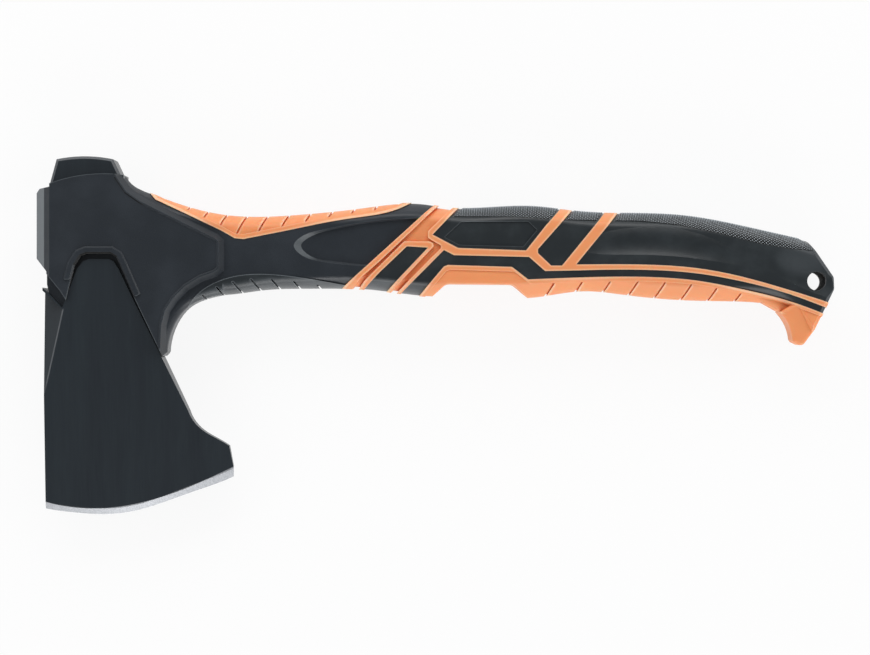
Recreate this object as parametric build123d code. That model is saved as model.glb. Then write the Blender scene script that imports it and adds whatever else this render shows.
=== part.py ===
# Hatchet with a steel head in a moulded two-colour handle, lying flat on its side.
# Frame: +X along the handle from the head to the butt, +Y up the head towards the poll,
# +Z out of the resting plane. The shapes are built round the mid-plane and lifted by HALF.
import math
import os
from functools import cache

from build123d import *

# ---- overall -------------------------------------------------------------------------
HALF = 15.0            # mid-plane above the resting plane: half of the greatest thickness
REACH = 40.0           # half length of the cutters that go through everything
FAR = 60.0             # outlines are closed this far outside the handle

# ---- depths below the outermost skin of the handle ---------------------------------------
FLUSH = 0.4            # the black surfaces lie this far below the orange beads
FLOOR = 1.2            # recessed orange floors and rib grooves
BED = 2.0              # bed of the black inlays
SKIN = 3.0             # surface of the hard core below the soft grip
SIDE_ROOM = 1.4        # beds lie this much deeper in the sides, below the long hollow
SHOULDER = 1.5         # and this much deeper at the corners of a section

# ---- handle sections: x, top, bottom, half thickness, crown rise, keel rise ------------
NECK_X = 57.3          # where the head housing ends and the free neck starts
NECK_HALF = 11.3
FLARE = 0.036          # growth of the half thickness per mm along the neck
STATIONS = [
    (12.7, 33.2, -14.0, NECK_HALF, 2.5, 2.0),
    (18.0, 28.1, -15.0, NECK_HALF, 3.0, 2.0),
    (25.0, 25.2, -16.0, NECK_HALF, 3.5, 2.0),
    (40.0, 20.0, -19.0, NECK_HALF, 4.0, 2.5),
    (NECK_X, 16.1, -20.6, NECK_HALF, 4.0, 3.0),
    (75.0, 15.2, -18.5, 11.94, 4.0, 3.5),
    (95.0, 16.4, -17.8, 12.66, 4.0, 4.0),
    (115.0, 18.4, -18.0, 13.38, 4.5, 4.5),
    (132.0, 20.6, -19.6, 13.99, 5.0, 5.0),
    (145.0, 21.0, -21.2, 14.4, 5.2, 5.5),
    (160.0, 19.0, -22.0, 14.8, 5.4, 6.0),
    (180.0, 19.3, -22.4, 14.95, 5.5, 6.5),
    (197.0, 19.6, -22.2, 14.85, 5.5, 7.0),
    (218.0, 17.3, -19.4, 14.6, 5.5, 6.0),
    (240.0, 16.5, -21.2, 14.3, 5.5, 6.5),
    (265.0, 15.4, -23.4, 14.0, 5.5, 7.0),
    (290.0, 11.0, -24.0, 13.5, 5.5, 7.0),
    (302.0, 8.3, -25.0, 13.1, 5.2, 7.0),
    (314.0, 5.6, -31.0, 12.8, 5.0, 7.0),
    (338.0, -1.0, -42.0, 12.2, 4.5, 7.0),
]
SMOOTH_ONLY = (95.0, 132.0, 197.0, 240.0)     # stations that the faceted beds leave out
CORNER = 4.2           # radius between the side and the crown or keel of a section

# ---- ends of the grip -----------------------------------------------------------------
BUTT = [(312.0, 9.5), (320.8, 3.6), (331.9, -12.6), (332.1, -18.2), (323.4, -36.2), (306.0, -FAR),
        (FAR + 300.0, -FAR), (FAR + 300.0, 9.5)]
BUTT_R = 4.0
BUTT_HALF = 12.6       # half thickness at the butt
BUTT_BEVEL = 1.2
FINGER = [(145.6, -27.0), (157.6, -16.0), (187.4, -16.3), (199.4, -27.0), (199.4, -FAR), (145.6, -FAR)]
HOOK_FRONT = [(307.5, -28.4), (311.6, -34.4), (313.2, -41.6)]
HOOK_BACK = [(313.2, -41.6), (317.7, -43.8), (323.1, -36.4), (328.8, -24.6), (313.4, -24.6), (307.5, -28.4)]
HOOK_HALF = 12.4       # half thickness of the hook at its root and at its tip
HOOK_TIP_HALF = 9.0
HOOK_TIP_R = 2.2
HOOK_RIM_R = 1.8
GUSSET = [(297.0, -21.0), (300.5, -24.3), (309.5, -29.3), (320.0, -29.3), (320.0, -21.0)]
GUSSET_HALF = 8.5      # the middle of the belly runs down into the hook
GUSSET_RIM = 3.0
HOLE_AT = (323.7, -14.5)
HOLE_R = 4.2
COLLAR = 1.6           # wall of black round the lanyard hole, down to the core

# ---- hollow in each side of the rear panel ------------------------------------------------
SCOOP_R = 13.4
SCOOP_PATH = [(205.0, -3.0, 30.0), (228.0, 2.2, 26.6), (250.0, 3.5, 25.6), (270.0, 1.2, 25.7),
              (287.0, -4.2, 26.3), (302.0, -9.6, 26.1), (316.0, -13.4, 25.4), (340.0, -19.0, 24.8)]

# ---- seams drawn on the sides of the handle -------------------------------------------------
SEAM = [(97.0, -30.0), (110.8, -17.5), (123.3, -6.3), (141.3, 10.0), (152.0, 19.8), (163.5, 30.0)]
#        between the neck and the orange front band
PANEL_FRONT = [(151.4, 6.3), (162.8, 0.3), (193.3, -0.8), (202.0, 10.2), (216.0, 26.0), (170.2, 26.0)]
PANEL_MIDDLE = [(198.6, -0.2), (198.6, -2.0), (204.5, -7.6), (209.4, -7.6), (236.8, 26.0), (221.8, 26.0)]
PANEL_REAR_EDGE = [(226.4, -7.0), (248.8, -7.2), (271.2, -8.9), (289.1, -12.3), (307.0, -17.2),
                   (327.2, -23.5), (345.0, -29.8)]
PANEL_REAR = [(345.0, 40.0), (254.2, 40.0), (215.7, -7.1), (226.4, -7.0)]
STRIPE_TOP = [(217.4, -9.7), (248.8, -9.5), (271.2, -11.2), (289.1, -14.4), (307.0, -18.9),
              (325.9, -25.6), (345.0, -33.0)]
STRIPE_LOW = [(208.5, -13.2), (248.8, -12.7), (271.2, -14.5), (289.1, -17.9), (307.0, -22.1),
              (325.0, -28.4), (345.0, -36.0)]
STRIPE_FRONT = [(130.2, -27.0), (156.5, -0.6), (161.0, -2.9), (194.6, -3.7), (201.8, -10.0),
                (217.4, -9.7)]
STRIPE_UNDER = [(208.5, -13.2), (194.2, -13.8), (187.0, -8.2), (158.3, -7.3), (156.5, -8.0),
                (140.4, -27.0), (130.2, -27.0)]
LIP = 2.1              # width of the bead under the stripe
BAR = [(112.5, -27.0), (121.1, -17.5), (127.8, -10.4), (139.9, 1.1), (149.4, 0.5), (123.3, -27.0)]
BAND_FLOOR = [(107.5, -27.0), (115.6, -17.5), (118.9, -13.3), (127.8, -5.5), (136.8, 3.0),
              (145.7, 11.6), (161.8, 27.0), (169.0, 27.0), (149.4, 7.9), (149.4, 4.8), (155.2, 1.4),
              (155.2, 0.3), (128.1, -27.0), (125.6, -27.0), (152.0, 1.2), (151.6, 2.5),
              (150.3, 3.2), (138.8, 3.4), (120.8, -14.4), (118.6, -17.5), (110.3, -27.0)]

PLAQUE = [(156.8, 5.2), (164.2, 12.0), (194.3, 12.2), (198.2, 8.4), (192.0, 0.9), (163.4, 1.7)]
PLAQUE_FLOOR = 14.0    # half thickness over the bare hexagonal field in the front panel

# ---- ribbed strips of the neck ----------------------------------------------------------
SPINE_EDGE = [(66.6, 4.4), (84.9, 8.0), (114.3, 13.6), (136.8, 18.3), (142.5, 21.5)]
SPINE_TIP = [(142.5, 21.5), (142.5, FAR), (20.0, FAR), (23.0, 26.4), (26.8, 22.3), (40.0, 16.1),
             (56.4, 8.3), (62.6, 4.8), (66.6, 4.4)]
CHOKE_EDGE = [(39.8, -30.6), (41.2, -26.4), (44.6, -21.6), (53.3, -15.4), (65.9, -11.8), (78.6, -11.5),
              (97.5, -13.7), (118.0, -17.2)]
STRIP_BEAD = 2.2       # height of the bead along the lower edge of the spine strip
RIB_GROOVE = 1.0       # ribs: first groove, its foot, lean to the right, height, pitch, number
SPINE_RIBS = (32.4, 2.0, 15.0, 28.0, 9.35, 11)
CHOKE_RIBS = (46.0, -30.0, -18.0, 22.0, 9.2, 8)
BELLY_RIBS = (194.1, -34.0, 15.0, 25.0, 12.4, 10)

# ---- head housing -----------------------------------------------------------------------
PLATE = 14.2           # half thickness over the cheek plate
BORDER = 14.7          # half thickness over the fine border of the plate
BORDER_W = 1.1
SLOPE_W = 2.2          # width of the sloping edge outside the border
NOSE_W = 6.1           # width of the bevel on the front bumper
NOSE_DROP = 4.0
HOUSING_R = 4.0
HOUSING_TOP = [(-20.3, 29.3), (-3.6, 33.3), (12.7, 33.2)]
HOUSING_FRONT = [(-20.3, 27.8), (-25.0, 26.9), (-26.4, 25.0), (-26.4, -4.4), (-21.7, -10.1)]
HOUSING_CORE = [(12.7, 20.0), (40.0, 10.0), (NECK_X, 5.0), (NECK_X, -20.6)]
HOUSING_UNDER = [(NECK_X, -20.6), (48.3, -22.7), (41.3, -26.3), (36.4, -32.2), (32.9, -41.3),
                 (32.3, -46.2)]
HOUSING_TIP = [(32.3, -46.2), (30.2, -48.2)]
HOUSING_LIP = [(-14.6, -26.2), (-20.9, -19.4), (-21.7, -15.9), (-21.7, -10.1)]
PLATE_LIP = [(-15.2, -19.2), (-21.7, -11.2), (-21.7, -10.1)]
PLATE_EDGE = [(9.7, 32.4), (14.2, 25.7), (20.5, 21.3), (29.4, 16.8), (54.0, 4.7), (55.6, 3.2),
              (55.6, -8.8), (53.6, -10.5), (47.3, -12.7), (40.6, -16.8), (35.3, -22.1),
              (31.7, -27.5), (29.9, -34.2), (29.4, -45.4)]
WINDOW = [(-12.9, -23.0), (-10.8, -14.1), (-9.0, -7.4), (-6.4, -3.3), (-3.7, -2.2), (7.1, -2.2),
          (9.7, -3.8), (11.5, -7.4), (18.3, -23.0), (30.3, -48.1)]
RIDGE_W = 3.3
RIDGE_BEVEL = 0.7
RIDGE_ZONE = [(-20.0, -13.8), (0.0, -13.8), (14.5, -23.3), (24.0, -18.6), (24.0, 8.0), (-20.0, 8.0)]

# ---- steel head -------------------------------------------------------------------------
TANG = 9.5             # half thickness of the steel inside the housing
CHEEK = 12.6           # half thickness of the raised cheek at the window
POLL = 11.5            # half thickness of the poll
EYE_Y = -25.0          # the wedge of the blade starts here
ROOT_HALF = 1.8        # half thickness where the ground bevel starts
EDGE_HALF = 0.25
TOE_X = -23.5
HEEL_X = 61.4
BLADE = [(-30.0, -114.9, 2.8), (-12.0, -118.8, 2.7), (2.0, -119.7, 2.6), (14.5, -118.6, 2.6),
         (24.4, -116.1, 2.7), (37.6, -111.5, 3.1), (51.1, -106.8, 3.5), (66.0, -99.8, 4.1)]
#        x, height of the cutting edge, height of the ground bevel
HEEL_CURVE = [(59.6, -88.7), (53.1, -84.9), (47.2, -81.2), (43.3, -76.9), (41.4, -72.9)]
CHEEK_TOP = [(29.4, -48.2), (10.6, -9.0), (8.4, -5.6), (6.4, -4.6), (-3.0, -4.6), (-5.4, -5.6), (-8.0, -9.0)]
TANG_OUT = [(-20.0, 29.0), (10.8, 29.0), (15.0, -6.0), (29.4, -48.2), (-8.0, -48.2), (-14.6, -26.4),
            (-20.6, -19.6), (-20.6, -9.0)]
TOE_FACET = [(-14.4, -27.5), (TOE_X, -66.0)]
TOE_TOP = [(-14.6, -26.4), (-20.9, -19.6), (TOE_X, -17.4)]     # the steel shows below this line
TOE_LOW = 4.0          # half thickness of the steel at the toe side, top of the facet
TOE_END = 7.6          # half thickness where the facet runs out
TOE_ZONE = [(TOE_X - 5.0, -14.0), (-14.4, -27.3), (TOE_X + 12.0, -66.0), (TOE_X - 5.0, -90.0)]
POLL_OUT = [(-20.5, 29.0), (-17.4, 40.3), (7.9, 40.3), (11.0, 33.8)]
POLL_RISE = 1.3
POLL_RIM = 1.2
POLL_FOOT = 26.0
ANCHORS = [(-8.0, 20.0), (8.0, 12.0)]
ANCHOR_R = 4.5

# ---- almond hollow in each side of the neck ---------------------------------------------
ALMOND_OUT = [(147.0, 13.8), (123.3, 12.5), (100.9, 8.5), (91.5, 5.4), (88.4, 1.6), (91.5, -2.6),
              (100.0, -5.6), (120.2, -7.7), (130.0, -8.0)]
ALMOND_IN = [(148.0, 13.5), (125.6, 11.9), (105.4, 8.4), (95.9, 5.1), (92.4, 1.6), (95.9, -2.8),
             (104.5, -5.3), (120.2, -6.9), (131.0, -7.4)]
ALMOND_DEPTH = 1.5


def tool(outline, depth=REACH):
    """Cutter or blank with one outline, going the same way to both sides."""
    return extrude(outline, amount=depth, both=True)


def poly(*points):
    return make_face(Polyline(*points, close=True))


def region(*edges):
    """Flat face inside a closed chain of edges."""
    return make_face([edge for chain in edges for edge in chain.edges()])


def pairs(solid):
    """The solid and its mirror image on the other side of the mid-plane."""
    return solid + mirror(solid, Plane.XY)


# ---- handle envelope ---------------------------------------------------------------
def section(station, inset):
    x, top, bottom, half, crown, keel = station
    top, bottom, half = top - inset, bottom + inset, half - inset
    face = region(
        ThreePointArc((top - crown, -half), (top, 0), (top - crown, half)),
        Line((top - crown, half), (bottom + keel, half)),
        ThreePointArc((bottom + keel, half), (bottom, 0), (bottom + keel, -half)),
        Line((bottom + keel, -half), (top - crown, -half)),
    )
    face = fillet(face.vertices(), CORNER - inset)
    return Plane.YZ.offset(x) * face


def swoosh(inset):
    """Long hollow pressed into each side of the rear panel, running towards the lanyard hole."""
    path = Spline(*SCOOP_PATH)
    start = Plane(origin=path @ 0, z_dir=path % 0)
    return pairs(sweep(start * Circle(SCOOP_R + inset - FLUSH), path))


def cut_ends(body, inset):
    """Cuts off the butt, and the recess for the first finger."""
    butt = fillet(poly(*BUTT).vertices()[1:4], BUTT_R)
    finger = fillet(poly(*FINGER).vertices()[1:3], BUTT_R)
    if inset:
        butt = offset(butt, inset)
        finger = offset(finger, inset)
    return body - tool(butt) - tool(finger)


def butt_bevel(inset):
    """Cutter for the bevel round the butt, on both sides."""
    flank = BUTT_HALF - inset
    start = offset(poly(*BUTT), inset, kind=Kind.INTERSECTION) if inset else poly(*BUTT)
    end = offset(poly(*BUTT), inset + 2 * BUTT_BEVEL, kind=Kind.INTERSECTION)
    return pairs(loft([Pos(0, 0, flank - BUTT_BEVEL) * start, Pos(0, 0, flank + BUTT_BEVEL) * end],
                      ruled=True))


@cache
def envelope(inset):
    """Outer form of neck and grip, moved inwards by one depth all round."""
    body = loft([section(station, inset) for station in STATIONS])
    return cut_ends(body, inset) - butt_bevel(inset) - swoosh(inset)


def facet_section(station, inset):
    """Eight-sided section that stays inside the rounded one."""
    x, top, bottom, half, crown, keel = station
    side = half - inset - SIDE_ROOM
    narrow = half * 0.45
    upper = [(top - inset - 0.2 * crown, narrow), (top - crown - inset - SHOULDER, side)]
    lower = [(bottom + keel + inset + SHOULDER, side), (bottom + inset + 0.2 * keel, narrow)]
    right = upper + lower
    left = [(y, -z) for y, z in reversed(right)]
    return Plane.YZ.offset(x) * poly(*right, *left)


@cache
def bed(inset):
    """Hidden faceted surface below the soft pieces."""
    kept = [station for station in STATIONS if station[0] not in SMOOTH_ONLY]
    return cut_ends(loft([facet_section(station, inset) for station in kept], ruled=True), inset)


def lanyard_hole(wall=0.0):
    return Pos(*HOLE_AT, 0) * Cylinder(HOLE_R + wall, 2 * REACH)


# ---- outlines of the seams ----------------------------------------------------------
def grip_side():
    return poly(*SEAM, (FAR + 300.0, 30.0), (FAR + 300.0, -FAR), (SEAM[0][0], -FAR))


def neck_side():
    return poly(*SEAM, (SEAM[-1][0], FAR), (NECK_X - FAR, FAR), (NECK_X - FAR, -FAR), (SEAM[0][0], -FAR))


def rear_outline():
    return region(Spline(*PANEL_REAR_EDGE), Polyline(PANEL_REAR_EDGE[-1], *PANEL_REAR))


def stripe_outline():
    return region(
        Polyline(*STRIPE_FRONT), Spline(*STRIPE_TOP), Line(STRIPE_TOP[-1], STRIPE_LOW[-1]),
        Spline(*STRIPE_LOW), Polyline(*STRIPE_UNDER))


def spine_outline():
    return region(Spline(*SPINE_EDGE), Polyline(*SPINE_TIP))


def choke_outline():
    low = [CHOKE_EDGE[-1], (CHOKE_EDGE[-1][0], -FAR), (CHOKE_EDGE[0][0], -FAR), CHOKE_EDGE[0]]
    return region(Spline(*CHOKE_EDGE), Polyline(*low)) & neck_side()


def choke_field():
    return Pos(0, -LIP, 0) * choke_outline()


def belly_outline():
    """Everything below the bead that runs along the underside of the stripe."""
    low = [STRIPE_LOW[-1], (STRIPE_LOW[-1][0], -FAR), (STRIPE_UNDER[-2][0], -FAR), STRIPE_UNDER[-2]]
    above = region(Spline(*STRIPE_LOW), Polyline(*STRIPE_UNDER[:-1]), Polyline(*low))
    return Pos(LIP / 2, -LIP, 0) * above


# ---- rib grooves ------------------------------------------------------------------------
def grooves(ribs, field):
    """Row of narrow slanted slots, as far as they lie in a field."""
    first, foot, lean, height, pitch, number = ribs
    slot = poly((0, 0), (RIB_GROOVE, 0), (RIB_GROOVE + lean, height), (lean, height))
    return Sketch() + [(Pos(first + i * pitch, foot, 0) * slot) & field for i in range(number)]


# ---- head -----------------------------------------------------------------------------
def cheek_outline():
    """Cheek and blade as far as they show below the housing; open below the cutting edge."""
    heel = Spline(*HEEL_CURVE)
    return region(heel, Polyline(heel @ 1, *CHEEK_TOP, *TOE_TOP, (TOE_X, -FAR * 3),
                                 (HEEL_X, -FAR * 3), (HEEL_X, -98.0), heel @ 0))


def wedge(top_half):
    """Blade thickness: parallel at the top, a long wedge, then the ground bevel."""
    sections = []
    for x, edge_y, rise in BLADE:
        half_side = [(REACH, top_half), (EYE_Y, top_half), (edge_y + rise, ROOT_HALF), (edge_y, EDGE_HALF)]
        side = half_side + [(y, -z) for y, z in reversed(half_side)]
        sections.append(Plane.YZ.offset(x) * poly(*side))
    return loft(sections)


def toe_facet_cutter():
    """Slanting facet from the cheek line down to the toe side, one on each face."""
    top = Vector(*TOE_FACET[0], CHEEK - 0.3)
    end = Vector(*TOE_FACET[1], TOE_END)
    toe = Vector(TOE_X, TOE_FACET[0][1], TOE_LOW)
    normal = (end - top).cross(toe - top)
    if normal.Z < 0:
        normal = -normal
    block = Plane(origin=top, z_dir=normal) * Pos(0, 0, FAR) * Box(6 * FAR, 6 * FAR, 2 * FAR)
    return pairs(block & tool(poly(*TOE_ZONE)))


def poll_block():
    """Poll with a slightly domed face and a bevelled rim."""
    left_low, left_top, right_top, right_low = POLL_OUT
    crown = ((left_top[0] + right_top[0]) / 2, left_top[1] + POLL_RISE)
    face = region(ThreePointArc(left_top, crown, right_top),
                  Polyline(right_top, right_low, (right_low[0], POLL_FOOT), (left_low[0], POLL_FOOT),
                           left_low, left_top))
    block = tool(face, POLL)
    rim = [e for e in block.edges() if abs(abs(e.center().Z) - POLL) < 0.01
           and e.center().Y > (left_low[1] + POLL_FOOT) / 2 + 3.0]
    return chamfer(rim, POLL_RIM)


def axe_head():
    tang = tool(poly(*TANG_OUT), TANG)
    blade = (tool(cheek_outline()) & wedge(CHEEK)) - toe_facet_cutter()
    head = tang + blade + poll_block()
    for x, y in ANCHORS:
        head -= Pos(x, y, 0) * Cylinder(ANCHOR_R, 2 * REACH)
    return head


# ---- head housing ------------------------------------------------------------------------
def housing_outline(lip):
    """Side view of the housing, closed inside the handle on its right."""
    return region(
        Spline(*HOUSING_TOP), Polyline(HOUSING_TOP[-1], *HOUSING_CORE), Spline(*HOUSING_UNDER),
        Polyline(*HOUSING_TIP, *WINDOW[::-1], *lip), Polyline(*HOUSING_FRONT[::-1], HOUSING_TOP[0]))


def housing_base(inset):
    """Body of the housing up to the thickness of the neck, with a round lower edge."""
    base = tool(housing_outline(HOUSING_LIP), NECK_HALF - inset)
    under = [e for e in base.edges() if abs(abs(e.center().Z) - NECK_HALF + inset) < 0.01
             and e.center().X > 34.0 and e.center().Y < -20.0]
    return fillet(under, HOUSING_R - inset)


def housing_bed():
    """What is left of the housing below the ribbed strip on its underside."""
    return Pos(-BED, BED, 0) * tool(housing_outline(HOUSING_LIP), NECK_HALF - SKIN)


def border_outline(margin):
    """Cheek plate up to its border, grown by a margin; open towards poll, toe and blade."""
    corners = [Vector(*p) for p in [(4.9, FAR), *PLATE_EDGE, (29.4, -FAR), (-FAR, -FAR), (-FAR, FAR)]]
    moved = []
    for before, corner, after in zip(corners[-1:] + corners[:-1], corners, corners[1:] + corners[:1]):
        left_in = (corner - before).normalized().rotate(Axis.Z, 90)
        left_out = (after - corner).normalized().rotate(Axis.Z, 90)
        moved.append(corner + (left_in + left_out) * (margin / (1 + left_in.dot(left_out))))
    return make_face(Polyline(*moved, close=True))


def plate():
    """Raised cheek plate with a fine border and a sloping edge, on both sides."""
    foot = NECK_HALF - FLUSH
    slab = loft([Pos(0, 0, foot) * border_outline(SLOPE_W), Pos(0, 0, BORDER) * border_outline(0)],
                ruled=True)
    field = loft([Pos(0, 0, PLATE) * border_outline(-BORDER_W),
                  Pos(0, 0, PLATE + BORDER_W) * border_outline(0)], ruled=True)
    limit = region(
        Spline(*HOUSING_TOP), Polyline(HOUSING_TOP[-1], (NECK_X + 5.0, 33.2), (NECK_X + 5.0, -46.4)),
        Polyline((NECK_X + 5.0, -46.4), *HOUSING_TIP, *WINDOW[::-1], *PLATE_LIP),
        Polyline(*HOUSING_FRONT[::-1], HOUSING_TOP[0]))
    return pairs((slab - field) & tool(limit))


def arch_ridge():
    """Raised rim round the opening for the blade."""
    grown = [offset(poly(*WINDOW), room, kind=Kind.INTERSECTION)
             for room in (RIDGE_BEVEL, RIDGE_W - RIDGE_BEVEL, RIDGE_W)]
    outer = loft([Pos(0, 0, PLATE - 1.0) * grown[2], Pos(0, 0, HALF - RIDGE_BEVEL) * grown[2],
                  Pos(0, 0, HALF) * grown[1]], ruled=True)
    inner = loft([Pos(0, 0, HALF - RIDGE_BEVEL) * poly(*WINDOW), Pos(0, 0, HALF) * grown[0]], ruled=True)
    return pairs((outer - inner - tool(poly(*WINDOW))) & tool(poly(*RIDGE_ZONE)))


def front_bevel():
    """Bevel across the front bumper, on both sides."""
    edge_x = HOUSING_FRONT[2][0]
    face = Plane.XZ * poly((edge_x + NOSE_W, PLATE), (edge_x - NOSE_W, PLATE - 2 * NOSE_DROP),
                           (edge_x - NOSE_W, FAR), (edge_x + NOSE_W, FAR))
    return pairs(extrude(face, amount=FAR, both=True))


def almond():
    """Hollow in the side of the neck with a crescent-shaped sloping rim."""
    outer = region(Spline(*ALMOND_OUT), Line(ALMOND_OUT[-1], ALMOND_OUT[0]))
    inner = region(Spline(*ALMOND_IN), Line(ALMOND_IN[-1], ALMOND_IN[0]))
    dish = loft([Pos(0, 0, FLUSH) * outer, Pos(0, 0, -ALMOND_DEPTH) * inner], ruled=True)
    lean = -math.degrees(math.atan(FLARE))
    side = Pos(NECK_X, 0, NECK_HALF - FLUSH) * Rot(0, lean, 0) * Pos(-NECK_X, 0, 0)
    return pairs(side * dish)


def handle_core():
    neck = envelope(FLUSH) & tool(neck_side() - spine_outline() - choke_outline())
    base = housing_base(FLUSH) - (tool(choke_outline()) - housing_bed())
    core = bed(SKIN) + neck + base + plate() + arch_ridge()
    core -= front_bevel()
    core -= almond() & tool(neck_side())
    core -= lanyard_hole()
    return core - axe_head()


# ---- soft strips of the neck ---------------------------------------------------------------
def neck_spine_insert():
    """Ribbed strip on the top of the neck, with a raised bead along its lower seam."""
    outline = spine_outline()
    field = Pos(0, STRIP_BEAD, 0) * outline
    slots = grooves(SPINE_RIBS, field)
    body = (envelope(0) & tool(outline)) - bed(SKIN)
    body -= tool(field - slots) - envelope(FLUSH)
    return body - (tool(slots) - envelope(FLOOR))


def choke_grip_insert():
    """Ribbed strip under the neck, running forward under the housing."""
    outer = envelope(0) + housing_base(0)
    body = (outer & tool(choke_outline())) - bed(SKIN) - housing_bed()
    return body - (tool(grooves(CHOKE_RIBS, choke_field())) - envelope(FLOOR))


# ---- soft sleeve and its inlays ---------------------------------------------------------------
def inlay(outline):
    """Black piece lying in a bed of the orange sleeve, just below the surrounding beads."""
    return (envelope(FLUSH) & tool(outline)) - bed(BED)


def inlay_outlines():
    return [poly(*PANEL_FRONT), poly(*PANEL_MIDDLE), rear_outline(), poly(*BAR), stripe_outline()]


def back_panel_front():
    plaque = extrude(Pos(0, 0, PLAQUE_FLOOR) * poly(*PLAQUE), amount=HALF)
    return inlay(poly(*PANEL_FRONT)) - pairs(plaque)


def back_panel_middle():
    return inlay(poly(*PANEL_MIDDLE))


def back_panel_rear():
    collar = (envelope(FLUSH) & lanyard_hole(COLLAR)) - bed(SKIN)
    return inlay(rear_outline()) + collar - lanyard_hole()


def front_bar():
    return inlay(poly(*BAR))


def belly_stripe():
    return inlay(stripe_outline())


def hook():
    """Butt hook below the belly, thinner towards its tip."""
    outline = region(ThreePointArc(*HOOK_FRONT), Polyline(*HOOK_BACK))
    root, tip = HOOK_BACK[3][1], HOOK_BACK[1][1]
    tips = [v for v in outline.vertices() if v.Y < tip + 3.0]
    side = [(root, HOOK_HALF), (tip, HOOK_TIP_HALF), (tip, -HOOK_TIP_HALF), (root, -HOOK_HALF)]
    blank = tool(fillet(tips, HOOK_TIP_R)) & extrude(Plane.YZ * poly(*side), amount=FAR + HOOK_BACK[3][0])
    rim = [e for e in blank.edges() if abs(e.center().Z) > HOOK_TIP_HALF - 0.5 and e.center().Y < root - 0.5]
    return fillet(rim, HOOK_RIM_R)


def gusset():
    """Rounded middle of the belly that leads into the hook."""
    blank = tool(poly(*GUSSET), GUSSET_HALF)
    low = (Vector(*GUSSET[1]) + Vector(*GUSSET[2])) / 2
    rim = [e for e in blank.edges() if abs(e.center().Z) > GUSSET_HALF - 0.1
           and abs(e.center().Y - low.Y) < 0.1 and abs(e.center().X - low.X) < 0.1]
    return fillet(rim, GUSSET_RIM)


def grip_sleeve():
    inlays = Sketch() + inlay_outlines()
    sleeve = (envelope(0) & tool(grip_side())) - bed(SKIN)
    belly = belly_outline()
    slots = grooves(BELLY_RIBS, belly)
    sleeve -= tool(belly - slots) - envelope(FLUSH)
    sleeve -= tool(Sketch() + [poly(*BAND_FLOOR), slots]) - envelope(FLOOR)
    sleeve += (hook() + gusset()) - bed(SKIN)
    sleeve -= tool(inlays) - bed(BED)
    return sleeve - lanyard_hole(COLLAR)


NODES = [axe_head, handle_core, neck_spine_insert, choke_grip_insert, grip_sleeve, back_panel_front,
         back_panel_middle, back_panel_rear, front_bar, belly_stripe]

os.makedirs("parts", exist_ok=True)
for node in NODES:
    export_step(Pos(0, 0, HALF) * node(), f"parts/{node.__name__}.step")
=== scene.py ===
# %% [markdown]
# # Hatchet in a moulded two-colour handle
# The hatchet lies on its side. Its solids come from the CAD frame: a steel head, the hard handle core, the
# orange sleeve and the black inlays. This notebook gives every one of them its finish, adds the knurl that
# is pressed into the back of the grip, and lights the whole as a catalogue shot. First the frame is loaded,
# and its box is measured and printed.

# %% Load the frame
import math

import bpy
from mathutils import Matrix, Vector
from mathutils.bvhtree import BVHTree


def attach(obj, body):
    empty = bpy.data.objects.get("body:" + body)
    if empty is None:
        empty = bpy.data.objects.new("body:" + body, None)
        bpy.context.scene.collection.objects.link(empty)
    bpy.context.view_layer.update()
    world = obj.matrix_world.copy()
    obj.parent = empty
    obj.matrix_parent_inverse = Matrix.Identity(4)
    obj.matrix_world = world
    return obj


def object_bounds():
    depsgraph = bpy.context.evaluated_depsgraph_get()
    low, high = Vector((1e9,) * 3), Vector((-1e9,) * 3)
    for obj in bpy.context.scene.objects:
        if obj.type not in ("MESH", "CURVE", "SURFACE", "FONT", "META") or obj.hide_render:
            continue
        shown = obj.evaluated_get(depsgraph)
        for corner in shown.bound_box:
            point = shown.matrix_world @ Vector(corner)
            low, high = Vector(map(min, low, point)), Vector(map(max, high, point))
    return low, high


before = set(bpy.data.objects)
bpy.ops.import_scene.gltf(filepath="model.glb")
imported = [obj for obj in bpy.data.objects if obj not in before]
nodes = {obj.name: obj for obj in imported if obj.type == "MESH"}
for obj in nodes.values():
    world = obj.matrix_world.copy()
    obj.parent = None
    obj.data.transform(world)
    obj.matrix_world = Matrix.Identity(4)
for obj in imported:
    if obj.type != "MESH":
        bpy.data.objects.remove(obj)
cad_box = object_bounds()
low, high = cad_box
print("CAD box, mm:", [round((b - a) * 1000, 1) for a, b in zip(low, high)])

# %% [markdown]
# ## Camera
# The hatchet is seen straight from above, with its handle running to the right, as if it lay
# on a light table. The camera hangs over the middle of the object. A long lens keeps the
# sides of the handle from showing, so the outline stays true.

# %% Camera
MID_PLANE = (low.z + high.z) / 2
CAMERA_HEIGHT = 1.35                    # above the mid-plane of the hatchet
VIEW_CENTRE = (0.1525, -0.0353)
VIEW_WIDTH = 0.3937                     # what the frame spans at the mid-plane
SENSOR = 36.0

camera_data = bpy.data.cameras.new("camera")
camera_data.sensor_width = SENSOR
camera_data.lens = SENSOR * CAMERA_HEIGHT / VIEW_WIDTH
camera = bpy.data.objects.new("camera", camera_data)
camera.location = (*VIEW_CENTRE, MID_PLANE + CAMERA_HEIGHT)
bpy.context.scene.collection.objects.link(camera)
bpy.context.scene.camera = camera
bpy.context.scene.view_settings.view_transform = "Standard"
print("lens, mm:", round(camera_data.lens, 1))

# %% [markdown]
# ## Shader maths
# A pattern such as a ground edge or a groove is a small formula over the place on the piece.
# Written as nodes by hand it is a long chain, so a class wraps a socket and lets Python's own
# operators add the Math nodes: `1 - mask * 0.5` reads as it would on paper. A ramp makes a
# mask out of a measure, with a soft step, and the larger of two masks joins them.

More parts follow.
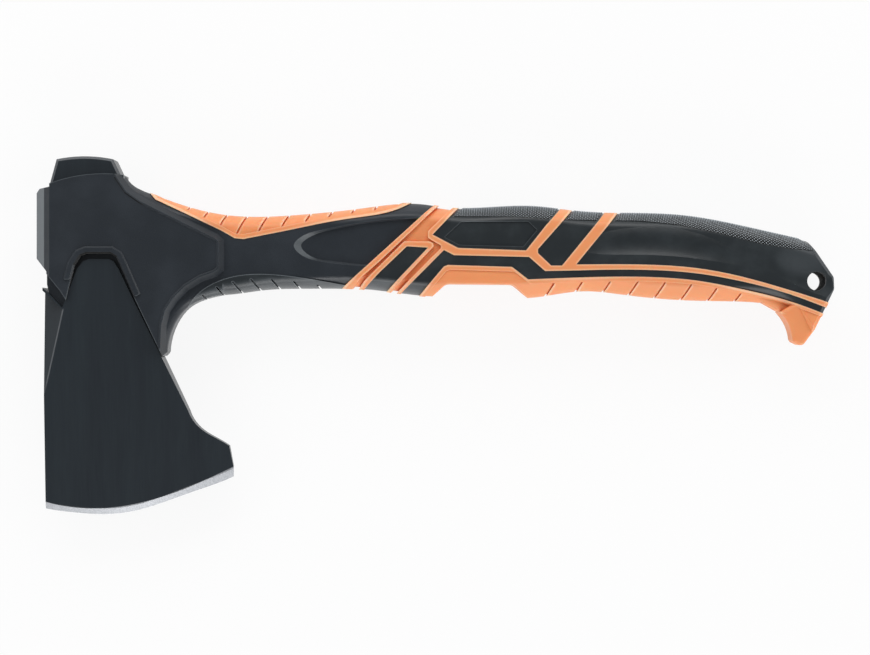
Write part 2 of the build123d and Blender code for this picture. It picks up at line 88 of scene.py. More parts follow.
# %% Signals
class Signal:
    """A number, colour or vector on its way through a finish."""

    def __init__(self, finish, socket):
        self.finish = finish
        self.socket = socket

    def maths(self, operation, *values):
        return self.finish.node("ShaderNodeMath", {"operation": operation}, dict(enumerate(values)))

    def __add__(self, other):
        return self.maths("ADD", self, other)

    def __radd__(self, other):
        return self.maths("ADD", other, self)

    def __sub__(self, other):
        return self.maths("SUBTRACT", self, other)

    def __rsub__(self, other):
        return self.maths("SUBTRACT", other, self)

    def __mul__(self, other):
        return self.maths("MULTIPLY", self, other)

    def __rmul__(self, other):
        return self.maths("MULTIPLY", other, self)

    def __neg__(self):
        return self.maths("MULTIPLY", self, -1.0)

    def __abs__(self):
        return self.maths("ABSOLUTE", self)

    def ramp(self, start, end):
        """0 up to start, 1 from end on, smooth between them; start may be the larger one."""
        return self.finish.node("ShaderNodeMapRange", {"interpolation_type": "SMOOTHSTEP"},
                                {"Value": self, "From Min": start, "From Max": end})

    def larger(self, other):
        return self.maths("MAXIMUM", self, other)


print("signals know:", [name for name in vars(Signal) if not name.startswith("_")])

# %% [markdown]
# ## Finishes
# Every finish starts the same way: a Principled shader, and the place on the piece, split
# into x, y and z. Every other node comes from one method, which sets the node's options first
# and then its inputs.
#
# Two masks follow the shape without a painted map. Ambient occlusion looks round for walls that are close.
# Looking out of the surface it finds them down in a slot. Turned inside, it looks into the solid and finds
# them behind a narrow rim. The finishes use them to paint highlights on rims, shade in the orange grooves
# and highlights in the slots of the ribbed strip. Both masks follow the shape by themselves, so they still
# fit when a size changes.

# %% Finishes
OCCLUSION_RAYS = 8


class Finish:
    """One material under construction, with the Principled shader at its end."""

    def __init__(self, name):
        self.material = bpy.data.materials.new(name)
        self.material.use_nodes = True
        self.tree = self.material.node_tree
        self.shader = self.tree.nodes["Principled BSDF"]
        self.place = self.node("ShaderNodeTexCoord", {}, {}, "Object")
        self.x, self.y, self.z = self.split(self.place)

    def give(self, socket, value):
        if isinstance(value, Signal):
            self.tree.links.new(value.socket, socket)
        else:
            socket.default_value = value

    def node(self, kind, options, inputs, output=0):
        """Adds a node: its options are set first, then the values or links of its sockets."""
        node = self.tree.nodes.new(kind)
        for option, value in options.items():
            setattr(node, option, value)
        for key, value in inputs.items():
            self.give(node.inputs[key], value)
        return Signal(self, node.outputs[output])

    def split(self, vector):
        """The three parts of a vector."""
        parts = self.tree.nodes.new("ShaderNodeSeparateXYZ")
        self.give(parts.inputs[0], vector)
        return [Signal(self, parts.outputs[i]) for i in range(3)]

    def stretched(self, x, y, z):
        """The place on the piece, scaled along each axis, for a pattern with a direction."""
        return self.node("ShaderNodeVectorMath", {"operation": "MULTIPLY"}, {0: self.place, 1: (x, y, z)})

    def noise(self, scale, detail=2.0, place=None, roughness=0.5):
        """Soft random pattern from 0 to 1; scale is the number of blotches per metre."""
        return self.node("ShaderNodeTexNoise", {},
                         {"Vector": place or self.place, "Scale": scale, "Detail": detail,
                          "Roughness": roughness})

    def blend(self, amount, first, second):
        """Colour that goes from the first to the second as the amount goes from 0 to 1."""
        first, second = ((*colour, 1) if isinstance(colour, tuple) else colour for colour in (first, second))
        return self.node("ShaderNodeMix", {"data_type": "RGBA"}, {0: amount, 6: first, 7: second}, 2)

    def bump(self, height, depth, under=None):
        """Surface normal over a relief of this depth in metres."""
        inputs = {"Height": height, "Distance": depth, "Strength": 1.0}
        if under:
            inputs["Normal"] = under
        return self.node("ShaderNodeBump", {}, inputs)

    def facing(self):
        """The x, y and z of the direction that the surface faces."""
        return self.split(self.node("ShaderNodeNewGeometry", {}, {}, "Normal"))

    def nearby(self, reach, inside):
        """1 where no wall is within the reach, outside or inside the solid; less near walls."""
        return self.node("ShaderNodeAmbientOcclusion", {"samples": OCCLUSION_RAYS, "inside": inside},
                         {"Distance": reach}, "AO")

    def crest(self, reach):
        """1 on rims and ridges narrower than the reach; 0 on flats."""
        return self.nearby(reach, inside=True).ramp(0.9, 0.6)

    def slot(self, reach):
        """1 down in slots narrower than the reach; 0 in the open."""
        return self.nearby(reach, inside=False).ramp(0.9, 0.45)

    def surface(self, **sockets):
        """Feeds the shader, and hands over the material."""
        for name, value in sockets.items():
            self.give(self.shader.inputs[name.replace("_", " ")], value)
        return self.material


def wear(material, *names):
    """Puts a material on pieces of the frame."""
    for name in names:
        slots = nodes[name].data.materials
        slots.clear()
        slots.append(material)
        print(name, "wears", material.name)


print("pieces to finish:", len(nodes))

# %% [markdown]
# ## Coated steel head
# The head is forged and ground steel under a thin satin black coat. The cutting edge is ground again after
# coating, so it is bare metal. On the chamfer round the poll and on the ridge beside the toe facet a little
# steel colour is mixed into the coat: a painted highlight.
#
# A painted mask would need the head unwrapped. Each place is a formula here, because the
# forging has plain shapes: the root of the edge is a curve, the chamfer has a height over the
# mid-plane, and the ridge is a straight line.

# %% Bare edge and painted highlights of the head
SHARP = 0.0001                          # how wide a step between two finishes is
EDGE_ROOT = (-0.1171, 0.0248, 5.92, -20.8)      # height of the edge's root as a cubic of x
ROOT_HALF = 0.00185                     # half thickness of the blade at the root
POLL_FROM = 0.0285                      # the poll leaves the housing here
POLL_HALF = 0.0115                      # half thickness of the poll
POLL_RIM = 0.0012                       # chamfer along its top
POLL_HEEL = 0.0026                      # wider chamfer at its right-hand corner
HEEL_FROM = 0.0080
TOE_RIDGE = (-0.0079, 0.2364)           # x of the toe facet's ridge at y = 0, and its lean
RIDGE_HALF = 0.0005
RIDGE_FROM = -0.0265                    # it comes out from under the housing here
RIDGE_TO = -0.066


def ground_edge(steel, away):
    """1 on the ground edge: below its root, and off the sides of the blade."""
    level, tilt, bow, skew = EDGE_ROOT
    root = ((steel.x * skew + bow) * steel.x + tilt) * steel.x + level
    return (steel.y - root).ramp(2 * SHARP, -SHARP) * away.ramp(ROOT_HALF + SHARP, ROOT_HALF)


def poll_chamfer(steel, away, width):
    """1 on the chamfer round the poll, as far in as this width."""
    over_housing = steel.y.ramp(POLL_FROM - 2 * SHARP, POLL_FROM)
    off_flat = away.ramp(POLL_HALF - SHARP / 2, POLL_HALF - SHARP)
    return over_housing * off_flat * away.ramp(POLL_HALF - width, POLL_HALF - width + SHARP)


def toe_ridge_highlight(steel):
    """1 on the ridge beside the toe facet, a painted highlight; it starts under the housing and fades
    downwards.
    """
    at_level, lean = TOE_RIDGE
    line = abs(steel.x - steel.y * lean - at_level).ramp(RIDGE_HALF, SHARP)
    return line * steel.y.ramp(RIDGE_FROM, RIDGE_FROM - 0.0015) * steel.y.ramp(RIDGE_TO, RIDGE_TO + 0.010)


print("edge root at x = 0, mm:", round(EDGE_ROOT[0] * 1000, 1))

# %% [markdown]
# The streaks of grinding run down the cheek, and the coat only half fills them. Noise that is
# stretched along one axis makes them: fine streaks for the relief and the gloss, and wide
# bands in the colour. The faces towards the toe are not ground and stay rough, so they don't
# mirror the lamps.

# %% Coated steel
STEEL_BARE = (0.48, 0.49, 0.51)
STEEL_GROUND = (0.37, 0.38, 0.40)
STEEL_COAT = (0.0105, 0.0145, 0.0195)
STEEL_STREAK = (0.022, 0.032, 0.038)
STREAK_DEPTH = 0.00002


def coated_steel():
    steel = Finish("coated_steel")
    away = abs(steel.z - MID_PLANE)
    # Painted highlight: the chamfer round the poll and its right-hand corner are mixed a little towards
    # steel colour. The mask below joins them with the real ground edge and the painted highlight on the toe
    # ridge.
    poll_rim_highlight = poll_chamfer(steel, away, POLL_RIM)
    poll_heel_highlight = poll_chamfer(steel, away, POLL_HEEL) * steel.x.ramp(HEEL_FROM, HEEL_FROM + SHARP)
    bare_edge_and_highlight = ground_edge(steel, away).larger(poll_rim_highlight * 0.2).larger(poll_heel_highlight * 0.08).larger(toe_ridge_highlight(steel) * 0.25)

    streaks = steel.noise(1.0, 4.0, steel.stretched(1500.0, 40.0, 400.0), 0.6)
    bands = steel.noise(1.0, 2.0, steel.stretched(120.0, 6.0, 60.0))
    coat = steel.blend(streaks * 0.6 + bands * 0.6 - 0.35, STEEL_COAT, STEEL_STREAK)
    grind = steel.noise(1.0, 3.0, steel.stretched(2500.0, 500.0, 2500.0), 0.6)
    metal = steel.blend(grind.ramp(0.35, 0.7), STEEL_BARE, STEEL_GROUND)

    facing_x, _, _ = steel.facing()
    rough = (-facing_x).ramp(0.08, 0.25) * 0.4 + bare_edge_and_highlight * 0.2 + poll_heel_highlight * 0.2
    return steel.surface(
        Base_Color=steel.blend(bare_edge_and_highlight, coat, metal), Metallic=bare_edge_and_highlight * 0.95,
        Roughness=0.32 + streaks * 0.1 + rough,
        Normal=steel.bump(streaks, STREAK_DEPTH, steel.bump(grind * bare_edge_and_highlight, STREAK_DEPTH)))


wear(coated_steel(), "axe_head")

# %% [markdown]
# ## Hard core of the handle
# The core is injection-moulded nylon with glass fibre. The mould was spark-eroded, so the
# surface has a fine even grain, with soft blotches where it has been handled. Two layers of
# noise make them: a grain of a few tenths of a millimetre in the relief, and wide blotches
# in colour and roughness.
#
# Painted light makes the shape readable. Narrow rims on the flat sides are painted pale as a highlight, and
# so is the end wall of the almond recess in the neck. The bevelled nose in front is painted pale, partly as
# a polished tone and partly as a painted highlight. The wall of the lanyard hole and the mouth round the
# blade are painted dark as shade. The faces on the back are duller, so that they don't mirror the lamp
# behind.

# %% Painted shade in the lanyard hole
HOLE_AT = (0.3237, -0.0145)             # axis of the lanyard hole
HOLE_RADIUS = 0.0042
HOLE_SHADE = (0.001, 0.001, 0.001)       # tone of painted shade, in the lanyard hole and the mouth round the blade


def in_lanyard_hole(finish):
    """1 on the wall of the lanyard hole."""
    across, up = finish.x - HOLE_AT[0], finish.y - HOLE_AT[1]
    return (across * across + up * up).ramp(HOLE_RADIUS ** 2 * 1.05, HOLE_RADIUS ** 2 * 1.02)


print("lanyard hole, mm:", HOLE_RADIUS * 2000)

# %% Glass-filled nylon
NYLON = (0.0115, 0.0155, 0.0205)
NYLON_PALE = (0.022, 0.028, 0.036)
# Tone of the painted highlight on the rims.
NYLON_RIM_HIGHLIGHT = (0.075, 0.086, 0.095)
NYLON_GRAIN = 0.00006                   # depth of the grain
NOSE_FROM = -0.0226                     # the bevelled nose begins here
# Tone of the nose: partly polished, partly a painted highlight.
NOSE_POLISH_AND_HIGHLIGHT = (0.155, 0.17, 0.18)
ALMOND_FROM = 0.086                     # the almond recess of the neck begins here
# Tone of the painted highlight on the end wall of the almond recess.
ALMOND_WALL_HIGHLIGHT = (0.085, 0.097, 0.105)
MOUTH_TO = 0.024                        # the mouth round the blade ends here


def core_nylon():
    nylon = Finish("core_nylon")
    grain = nylon.noise(2600.0, 3.0, roughness=0.6)
    blotches = nylon.noise(55.0, 3.0)
    facing_x, facing_y, facing_z = nylon.facing()
    # Painted highlight: narrow rims on the flat sides are painted pale, but not next to a slot.
    rim_highlight = nylon.crest(0.0006) * abs(facing_z).ramp(0.7, 0.95) * (1 - nylon.slot(0.0025))
    # Painted highlight: faces that turn towards the butt at the almond recess are painted pale.
    almond_highlight = facing_x.ramp(0.12, 0.35) * nylon.x.ramp(ALMOND_FROM - 0.002, ALMOND_FROM)
    # The nose is painted pale: partly a polished tone, partly a painted highlight.
    nose_polish_and_highlight = nylon.x.ramp(NOSE_FROM, NOSE_FROM - 0.0004)
    # Painted shade: faces turned down at the mouth round the blade, and the wall of the lanyard hole, are
    # painted dark.
    mouth_shade = (-facing_y).ramp(0.15, 0.5) * nylon.x.ramp(MOUTH_TO, MOUTH_TO - 0.004)
    painted_shade = in_lanyard_hole(nylon).larger(mouth_shade)

    colour = nylon.blend(grain.ramp(0.3, 0.75) * 0.5 + blotches.ramp(0.35, 0.7) * 0.5, NYLON, NYLON_PALE)
    for amount, tone in ((rim_highlight, NYLON_RIM_HIGHLIGHT), (almond_highlight, ALMOND_WALL_HIGHLIGHT), (nose_polish_and_highlight, NOSE_POLISH_AND_HIGHLIGHT), (painted_shade, HOLE_SHADE)):
        colour = nylon.blend(amount, colour, tone)
    return nylon.surface(
        Base_Color=colour,
        Roughness=0.34 + blotches * 0.1 + (facing_y.ramp(0.3, 0.6) * 0.3).larger(painted_shade * 0.5),
        Normal=nylon.bump(grain, NYLON_GRAIN), Sheen_Weight=0.15, Sheen_Roughness=0.3)


wear(core_nylon(), "handle_core")

# %% [markdown]
# ## Black soft grip
# The inlays and the strip under the neck are a black elastomer. It picks up dust, so it is a
# shade greyer than the nylon, with a finer and softer grain. Sheen is the glow of fine dust
# on faces that are seen at a slant; without it they would turn out too black.
#
# The underside as far as the front bar, the ribbed strip and the butt end are painted pale, a painted
# highlight where faces turn down or towards the butt. On the upper side a round patch near the lanyard hole
# is paler as well. Rims are painted pale as a highlight, and on the ribbed strip so are the slots.

# %% Painted highlight and paler patch
UNDERSIDE_HIGHLIGHT_TO = 0.150                       # the underside is painted pale up to here
RIBBED_TO = 0.098                       # the ribbed strip under the neck ends here
PATCH_AT = (0.3177, -0.0038)             # a paler patch on the rear panel has its middle here
PATCH_REACH = 0.015


def underside_highlight(rubber, on_ribs, dust):
    """Painted highlight: 1 on the underside, on the ribbed strip and on the butt end, broken up by the dust
    noise.
    """
    facing_x, facing_y, _ = rubber.facing()
    underside = (-facing_y).ramp(0.1, 0.85) * rubber.x.ramp(UNDERSIDE_HIGHLIGHT_TO, UNDERSIDE_HIGHLIGHT_TO - 0.01)
    held = (-facing_y).ramp(-0.05, 0.45) * on_ribs
    return underside.larger(held).larger(facing_x.ramp(0.3, 0.9)) * (dust.ramp(0.3, 0.7) * 0.6 + 0.4)


def pale_patch(rubber):
    """Round patch on the upper side, 1 in its middle."""
    along, up = rubber.x - PATCH_AT[0], rubber.y - PATCH_AT[1]
    patch = (along * along + up * up * 2.0).ramp(PATCH_REACH ** 2, 0.0)
    return patch * rubber.z.ramp(MID_PLANE - 0.001, MID_PLANE + 0.001)


print("pale underside, mm:", UNDERSIDE_HIGHLIGHT_TO * 1000, "of", round(high.x * 1000))

# %% Black elastomer
RUBBER = (0.009, 0.013, 0.0155)
RUBBER_DUST = (0.024, 0.031, 0.035)
# Tone of the painted highlight on rims and in the slots of the ribbed strip.
RUBBER_RIM_HIGHLIGHT = (0.17, 0.19, 0.205)
# Tone of the painted highlight on the underside, the ribbed strip and the butt end.
RUBBER_HIGHLIGHT = (0.07, 0.08, 0.088)
SOFT_GRAIN = 0.00004                    # depth of the grain on both elastomers


def black_soft():
    rubber = Finish("black_soft")
    grain = rubber.noise(3200.0, 2.0)
    dust = rubber.noise(90.0, 4.0, roughness=0.6)
    on_ribs = rubber.x.ramp(RIBBED_TO + 0.002, RIBBED_TO)
    # Painted highlight: rims, and the slots of the ribbed strip, are painted pale.
    rim_highlight = (rubber.crest(0.0004) * (on_ribs * 0.6 + 0.4)).larger(rubber.slot(0.002) * on_ribs)
    # Painted highlight on the underside, the ribbed strip and the butt end, joined with a paler patch on the
    # upper side.
    pale_mask = underside_highlight(rubber, on_ribs, dust).larger(pale_patch(rubber) * 0.4)
    # Painted shade on the wall of the lanyard hole.
    hole = in_lanyard_hole(rubber)

    colour = rubber.blend(dust.ramp(0.4, 0.75) * 0.6 + grain * 0.25, RUBBER, RUBBER_DUST)
    for amount, tone in ((rim_highlight, RUBBER_RIM_HIGHLIGHT), (pale_mask, RUBBER_HIGHLIGHT), (hole, HOLE_SHADE)):
        colour = rubber.blend(amount, colour, tone)
    return rubber.surface(
        Base_Color=colour, Roughness=0.36 + dust * 0.12 + hole * 0.5,
        Normal=rubber.bump(grain, SOFT_GRAIN), Sheen_Weight=0.45, Sheen_Roughness=0.3)


wear(black_soft(), "choke_grip_insert", "back_panel_front", "back_panel_middle", "back_panel_rear",
     "front_bar", "belly_stripe")

# %% [markdown]
# ## Orange soft grip
# The orange elastomer lets light in a little, which subsurface scattering does: it softens the shade on
# beads and lips. Its narrow beads are painted paler than the broad bands as a highlight, and down in the
# grooves, where light bounces between orange walls, the tone is painted deeper as the shade there. The rest
# is what a mould and a hand leave: a fine grain and faint cloudy changes of colour.

# %% Orange elastomer
ORANGE = (0.85, 0.312, 0.118)
ORANGE_DEEP = (0.72, 0.19, 0.05)
# Tone of the painted highlight on beads and lips.
ORANGE_CREST_HIGHLIGHT = (0.95, 0.55, 0.34)
LIGHT_REACH = 0.0025                    # how far light gets into the elastomer


def orange_soft():
    rubber = Finish("orange_soft")
    grain = rubber.noise(3000.0, 2.0)
    cloud = rubber.noise(60.0, 3.0)
    colour = rubber.blend(rubber.slot(0.0025) * 0.8 + cloud.ramp(0.45, 0.8) * 0.12, ORANGE, ORANGE_DEEP)
    return rubber.surface(
        # Painted highlight: narrow beads and lips are painted paler.
        Base_Color=rubber.blend(rubber.crest(0.0013) * 0.7, colour, ORANGE_CREST_HIGHLIGHT),
        Roughness=0.48 + cloud * 0.1, Normal=rubber.bump(grain, SOFT_GRAIN),
        Subsurface_Weight=0.35, Subsurface_Scale=LIGHT_REACH, Sheen_Weight=0.08, Sheen_Roughness=0.4)


wear(orange_soft(), "neck_spine_insert", "grip_sleeve")

# %% [markdown]
# ## Knurl on the back
# The mould of the real handle has a knurled back: two sets of fine cuts cross each other,
# both at half a right angle to the length, and leave rows of small pyramids. They are real
# shape here, because they show in the outline.
#
# The strip is modelled flat and then laid over the back. For that the back is measured
# first, with rays that are shot at it from outside. It swells and bends along its length, so
# no single bend tool follows it. The rays also meet the orange bands, which stand a little
# proud of the panels, and that much is taken off again.

# %% Surface of the back
def between(points, x):
    """Height at x on a line through points that run to the right."""
    for (x0, y0), (x1, y1) in zip(points, points[1:]):
        if x <= x1:
            return y0 + (y1 - y0) * (x - x0) / (x1 - x0)
    return points[-1][1]


def back_surface():
    """Search tree over the grip, and the number of its first face on the orange sleeve."""
    corners, faces, first_orange = [], [], 0
    for name in ("back_panel_front", "back_panel_middle", "back_panel_rear", "grip_sleeve"):
        if name == "grip_sleeve":
            first_orange = len(faces)
        mesh = nodes[name].data
        first = len(corners)
        corners += [nodes[name].matrix_world @ vertex.co for vertex in mesh.vertices]
        faces += [[first + i for i in polygon.vertices] for polygon in mesh.polygons]
    return BVHTree.FromPolygons(corners, faces), first_orange


back_tree, first_orange_face = back_surface()
print("faces of the panels that carry the knurl:", first_orange_face)

# %% Measured profiles
KNURL_FROM, KNURL_TO = 0.152, 0.324     # along the handle
KNURL_LOW = [(0.150, 0.0143), (0.190, 0.0138), (0.206, 0.0127), (0.244, 0.0123), (0.262, 0.0104),
             (0.280, 0.0067), (0.298, 0.0022), (0.312, -0.0001), (0.326, -0.0012)]
ORANGE_PROUD = 0.0004                   # the orange bands stand this much above the panels
RAY_START = 0.05                        # rays start this far out
STATION_STEP = 0.002                    # one profile every 2 mm of length
PROFILE_STEPS = 40                      # points from the ridge down to the lower line


def back_line(x):
    """Points of the back at x, from the ridge to the lower line: height and distance out."""
    foot = between(KNURL_LOW, x)
    centre = Vector((x, foot - 0.001, MID_PLANE))
    line = []
    for step in range(91):
        angle = math.radians(90 - step)
        out = Vector((0, math.sin(angle), math.cos(angle)))
        place, _, face, _ = back_tree.ray_cast(centre + out * RAY_START, -out)
        if place is None:
            continue
        if face >= first_orange_face:
            place = place - out * ORANGE_PROUD
        if line and place.y < foot:
            break
        line.append((place.y, place.z - MID_PLANE))
    return line


def even_steps(line):
    """The same line as points that are evenly spaced along it."""
    length = [0.0]
    for (y0, z0), (y1, z1) in zip(line, line[1:]):
        length.append(length[-1] + math.hypot(y1 - y0, z1 - z0))
    steps = [length[-1] * i / PROFILE_STEPS for i in range(PROFILE_STEPS + 1)]
    both = [list(zip(length, values)) for values in zip(*line)]
    return [tuple(between(points, step) for points in both) for step in steps]


station_count = round((KNURL_TO - KNURL_FROM) / STATION_STEP) + 1
profiles = [even_steps(back_line(KNURL_FROM + i * STATION_STEP)) for i in range(station_count)]
widest = max(profile[-1][1] for profile in profiles)
print(station_count, "profiles, the widest", round(widest * 2000, 1), "mm across")


# %% Point on the back
def on_back(x, across):
    """Point of the back at x along the handle; across is -1 to 1 from lower line to lower line."""
    row = min(max((x - KNURL_FROM) / STATION_STEP, 0.0), station_count - 1.001)
    column = min(abs(across) * PROFILE_STEPS, PROFILE_STEPS - 0.001)
    i, j = int(row), int(column)
    u, v = row - i, column - j
    y, out = ((profiles[i][j][k] * (1 - u) + profiles[i + 1][j][k] * u) * (1 - v)
              + (profiles[i][j + 1][k] * (1 - u) + profiles[i + 1][j + 1][k] * u) * v for k in (0, 1))
    return Vector((x, y, MID_PLANE + math.copysign(out, across)))


print("ridge of the back, mm:", [round(on_back(x, 0).y * 1000, 1) for x in (KNURL_FROM, KNURL_TO)])

# %% [markdown]
# The strip itself starts as a grid of square cells. It is turned by half a right angle, cut
# to its length and width with bisect, and poked: that puts a point in the middle of every
# cell and lifts it, so each cell becomes a pyramid. The height of every point is kept in an
# attribute, because the finish needs it after the strip is bent.

# %% Flat strip of pyramids
KNURL_CELL = 0.0011
KNURL_RISE = 0.0006
KNURL_HALF = 0.0155                     # from the ridge of the back down to the lower line


def trim(point, normal):
    """Cuts the whole mesh with a plane and clears the side that the normal points to."""
    bpy.ops.mesh.select_all(action="SELECT")
    bpy.ops.mesh.bisect(plane_co=point, plane_no=normal, threshold=1e-6, clear_outer=True)


def knurl_strip():
    """Flat strip of pyramids, standing on z = 0."""
    half = (KNURL_TO - KNURL_FROM) / 2
    cells = math.ceil((half + KNURL_HALF) * math.sqrt(2) / KNURL_CELL) + 2
    bpy.ops.object.select_all(action="DESELECT")
    bpy.ops.mesh.primitive_grid_add(x_subdivisions=cells, y_subdivisions=cells, size=cells * KNURL_CELL,
                                    rotation=(0, 0, math.radians(45)))
    bpy.ops.object.transform_apply(location=True, rotation=True, scale=True)
    strip = bpy.context.object
    bpy.ops.object.mode_set(mode="EDIT")
    for side in (1, -1):
        trim((0, side * KNURL_HALF, 0), (0, side, 0))
    for end in (1, -1):
        trim((end * half, 0, 0), (end, 0, 0))
    bpy.ops.mesh.select_all(action="SELECT")
    bpy.ops.mesh.poke(offset=KNURL_RISE)
    bpy.ops.object.mode_set(mode="OBJECT")
    rise = strip.data.attributes.new("rise", "FLOAT", "POINT")
    rise.data.foreach_set("value", [vertex.co.z / KNURL_RISE for vertex in strip.data.vertices])
    return strip


strip = knurl_strip()
print("flat strip:", len(strip.data.polygons), "faces")

# %% [markdown]
# Now every point of the strip goes to its place on the back: its distance along the strip is
# the distance along the handle, and its distance from the middle is the way round the back.
# The two directions of the surface give the normal, and the pyramids rise along it.

# %% Strip laid on the back
KNURL_LIFT = 0.00003                    # keeps the foot of the pyramids off the panels
ALONG_REACH = 0.0004                    # the slope of the back is taken over this length
ROUND_REACH = 0.03                      # and over this share of the way round


def lay_on_back(strip):
    """Moves every point of the strip onto the back, and its height along the normal there."""
    middle = (KNURL_FROM + KNURL_TO) / 2
    for vertex in strip.data.vertices:
        x, across, rise = middle + vertex.co.x, -vertex.co.y / KNURL_HALF, vertex.co.z
        along = on_back(x + ALONG_REACH, across) - on_back(x - ALONG_REACH, across)
        side = min(max(across, ROUND_REACH - 1), 1 - ROUND_REACH)
        around = on_back(x, side + ROUND_REACH) - on_back(x, side - ROUND_REACH)
        vertex.co = on_back(x, across) + around.cross(along).normalized() * (rise + KNURL_LIFT)


lay_on_back(strip)
print("strip reaches up to, mm:", round(max(vertex.co.y for vertex in strip.data.vertices) * 1000, 1))

# %% [markdown]
# Each black panel gets its own copy of the strip. The copy is cut along the panel's two seams, and Solidify
# gives it a thickness downwards, so that it is a closed solid sunk into the panel. The cuts between the
# pyramids are painted black as shade, and their tips are painted pale as a highlight.

# %% Knurl finish
# Painted shade in the cuts and painted highlight on the tips of the pyramids.
KNURL_VALLEY_SHADE = (0.001, 0.0014, 0.0018)
KNURL_PEAK_HIGHLIGHT = (0.38, 0.42, 0.45)


def knurled_soft():
    rubber = Finish("knurled_soft")
    rise = rubber.node("ShaderNodeAttribute", {"attribute_name": "rise"}, {}, "Fac")
    dust = rubber.noise(90.0, 4.0, roughness=0.6)
    # The height of each point paints the cuts dark as shade and the tips pale as a highlight.
    return rubber.surface(Base_Color=rubber.blend(rise.ramp(0.42, 0.72), KNURL_VALLEY_SHADE, KNURL_PEAK_HIGHLIGHT),
                          Roughness=0.4 + dust * 0.14)


knurled_rubber = knurled_soft()
print("made", knurled_rubber.name)

# %% One knurl a panel
KNURL_SOLID = 0.0006
KNURLS = {                              # seam on the left and on the right, each from its foot up
    "knurl_front": (((0.1532, 0.0063), (0.1720, 0.0260)), ((0.2008, 0.0102), (0.2148, 0.0260))),
    "knurl_middle": (((0.1998, 0.0), (0.2230, 0.0260)), ((0.2080, -0.0076), (0.2354, 0.0260))),
    "knurl_rear": (((0.2171, -0.0071), (0.2556, 0.0400)), ((0.3214, 0.0004), (0.3139, 0.0078))),
}


def panel_knurl(name, seams):
    """Copy of the strip, cut along two seams and made solid."""
    piece = strip.copy()
    piece.data = strip.data.copy()
    piece.name = piece.data.name = name
    bpy.context.scene.collection.objects.link(piece)
    bpy.ops.object.select_all(action="DESELECT")
    piece.select_set(True)
    bpy.context.view_layer.objects.active = piece
    bpy.ops.object.mode_set(mode="EDIT")
    for (foot, top), outside in zip(seams, (-1, 1)):
        run = Vector((*top, 0)) - Vector((*foot, 0))
        trim((*foot, 0), Vector((run.y, -run.x, 0)).normalized() * outside)
    bpy.ops.object.mode_set(mode="OBJECT")
    solid = piece.modifiers.new("solid", "SOLIDIFY")
    solid.thickness = KNURL_SOLID
    solid.offset = -1
    bpy.ops.object.modifier_apply(modifier="solid")
    bpy.ops.object.mode_set(mode="EDIT")
    bpy.ops.mesh.select_all(action="SELECT")
    bpy.ops.mesh.normals_make_consistent(inside=False)
    bpy.ops.object.mode_set(mode="OBJECT")
    return piece


for name, seams in KNURLS.items():
    piece = panel_knurl(name, seams)
    piece.data.materials.append(knurled_rubber)
    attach(piece, "root")
    print(name, len(piece.data.polygons), "faces")
bpy.data.objects.remove(strip)

# %% [markdown]
# ## Floor
# The floor is white, and so is what surrounds it. Camera rays, and rays that were mirrored,
# see most of it as an even white light. The rest is its own shading, which is where the
# faint shadow of the hatchet comes from.

# %% Floor
WHITE = (1, 1, 1, 1)
FLOOR_WHITE = 0.86
FLOOR_GAP = 0.0003                      # under the hatchet
FLOOR_SIZE = 8.0
SHADOW_SHARE = 0.1                      # how much of the floor's own shading the camera sees

bpy.ops.object.select_all(action="DESELECT")
bpy.ops.mesh.primitive_plane_add(size=FLOOR_SIZE, location=(*VIEW_CENTRE, low.z - FLOOR_GAP))
bpy.ops.object.transform_apply(location=True, rotation=True, scale=True)
floor = bpy.context.object
floor.name = "floor"


def floor_white():
    paper = Finish("floor_white")
    paper.surface(Base_Color=(FLOOR_WHITE, FLOOR_WHITE, FLOOR_WHITE, 1), Roughness=0.9)
    glow = paper.node("ShaderNodeEmission", {}, {"Color": WHITE})
    seen, glossy, clear = (paper.node("ShaderNodeLightPath", {}, {}, f"Is {kind} Ray")
                           for kind in ("Camera", "Glossy", "Transmission"))
    share = (seen + glossy + clear) * (1 - SHADOW_SHARE)
    shaded = Signal(paper, paper.shader.outputs[0])
    mix = paper.node("ShaderNodeMixShader", {}, {0: share, 1: shaded, 2: glow})
    paper.give(paper.tree.nodes["Material Output"].inputs["Surface"], mix)
    return paper.material


floor.data.materials.append(floor_white())
print("floor at", round((low.z - FLOOR_GAP) * 1000, 2), "mm")

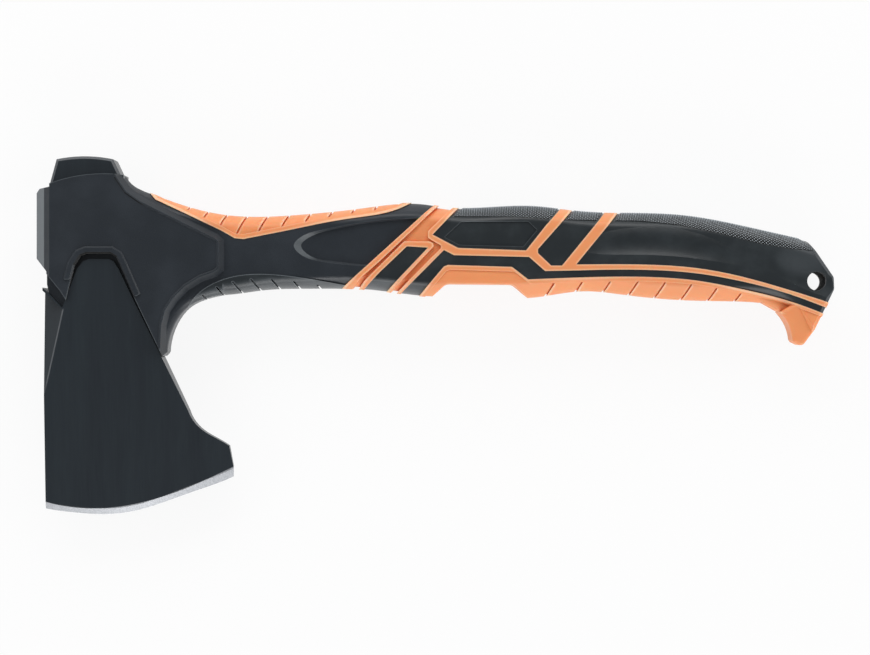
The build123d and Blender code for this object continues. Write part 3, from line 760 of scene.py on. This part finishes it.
# %% [markdown]
# ## Studio light
# Black plastic shows its form by what it mirrors. There is no lamp overhead, so it stays dark
# where it faces the camera, and only the even light of the room lifts it a little. Its slopes
# pick up four long soft boxes that stand low: behind, to the left, to the right and in front.
# The one in front is the strongest, for it lights the ground edge.

# %% Room
ROOM_TINT = (0.93, 0.96, 1.0, 1)
ROOM_STRENGTH = 0.23

world = bpy.data.worlds.new("studio")
world.use_nodes = True
bpy.context.scene.world = world
tree = world.node_tree
tree.nodes.clear()
rays = tree.nodes.new("ShaderNodeLightPath")
mix = tree.nodes.new("ShaderNodeMixShader")
output = tree.nodes.new("ShaderNodeOutputWorld")
tree.links.new(rays.outputs["Is Camera Ray"], mix.inputs[0])
for i, (tint, strength) in enumerate(((ROOM_TINT, ROOM_STRENGTH), (WHITE, 1.0)), start=1):
    backdrop = tree.nodes.new("ShaderNodeBackground")
    backdrop.inputs["Color"].default_value = tint
    backdrop.inputs["Strength"].default_value = strength
    tree.links.new(backdrop.outputs[0], mix.inputs[i])
tree.links.new(mix.outputs[0], output.inputs["Surface"])
print("room light:", ROOM_STRENGTH, "and white for the camera")

# %% Lamps
TARGET = Vector((*VIEW_CENTRE, MID_PLANE))
LAMPS = {                               # azimuth and elevation, distance, size in metres, watts
    "lamp_back": (100, 30, 1.2, (1.4, 0.6), 11),
    "lamp_left": (175, 30, 1.2, (1.2, 0.5), 3.6),
    "lamp_right": (5, 20, 1.2, (1.0, 0.8), 7),
    "lamp_front": (275, 18, 1.3, (1.4, 0.8), 13),
}


def lamp(name, azimuth, elevation, distance, size, watts):
    """Soft box aimed at the hatchet; azimuth 0 is to the right, 90 is behind."""
    data = bpy.data.lights.new(name, "AREA")
    data.shape = "RECTANGLE"
    data.size, data.size_y = size
    data.energy = watts
    light = bpy.data.objects.new(name, data)
    a, e = math.radians(azimuth), math.radians(elevation)
    direction = Vector((math.cos(a) * math.cos(e), math.sin(a) * math.cos(e), math.sin(e)))
    light.location = TARGET + direction * distance
    light.rotation_euler = direction.to_track_quat("Z", "Y").to_euler()
    bpy.context.scene.collection.objects.link(light)
    print(name, "radiance", round(watts / (math.pi * size[0] * size[1]), 2))


for name, settings in LAMPS.items():
    lamp(name, *settings)

# %% [markdown]
